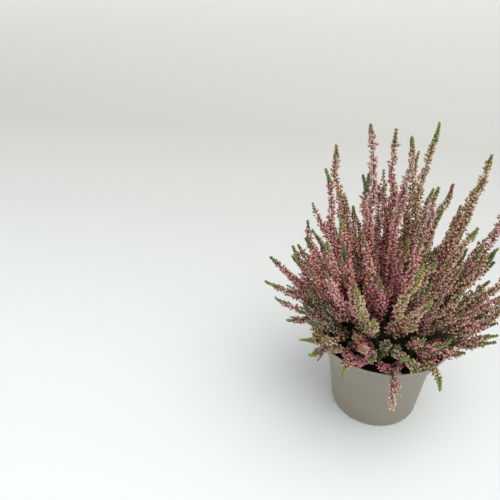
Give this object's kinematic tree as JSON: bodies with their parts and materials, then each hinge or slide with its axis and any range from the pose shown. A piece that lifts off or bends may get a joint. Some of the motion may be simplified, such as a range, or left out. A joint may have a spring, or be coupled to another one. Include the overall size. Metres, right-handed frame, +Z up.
{
  "type": "potted heather",
  "caption": "Bud-flowering heather in a round plastic nursery pot: upright and trailing pink budded stems with leafy tips, rooted in peat.",
  "frame": {"origin": "middle of the flat underside of the pot", "axes": "+Z up along the pot's axis; -Y towards the side that the picture shows; +X to its right"},
  "size_m": [0.2236, 0.19, 0.2981],
  "materials": {
    "pot": "satin",
    "peat": "matte",
    "buds": "matte",
    "foliage": "matte"
  },
  "bodies": {
    "root": {"pot": "pot", "soil": "peat", "spray_00": "buds", "spray_01": "buds", "spray_02": "buds", "spray_03": "buds", "spray_04": "buds", "spray_05": "buds", "spray_06": "buds", "spray_07": "buds", "spray_08": "buds", "spray_09": "buds", "spray_10": "buds", "spray_11": "buds", "spray_12": "buds", "spray_13": "buds", "spray_14": "buds", "spray_15": "buds", "spray_16": "buds", "spray_17": "buds", "spray_18": "buds", "spray_19": "buds", "spray_20": "buds", "spray_21": "buds", "spray_22": "buds", "spray_23": "buds", "spray_24": "buds", "spray_25": "buds", "spray_26": "buds", "spray_27": "buds", "spray_28": "buds", "spray_29": "buds", "spray_30": "buds", "spray_31": "buds", "spray_32": "buds", "spray_33": "buds", "spray_34": "buds", "spray_35": "buds", "spray_36": "buds", "spray_37": "buds", "spray_38": "buds", "spray_39": "buds", "spray_40": "buds", "spray_41": "buds", "spray_42": "buds", "spray_43": "buds", "spray_44": "buds", "spray_45": "buds", "spray_46": "buds", "spray_47": "buds", "spray_48": "buds", "spray_49": "buds", "spray_50": "buds", "spray_51": "buds", "spray_52": "buds", "leafy_shoot_0": "foliage", "leafy_shoot_1": "foliage", "leafy_shoot_2": "foliage", "leafy_shoot_3": "foliage", "leafy_shoot_4": "foliage"}
  },
  "joints": []
}
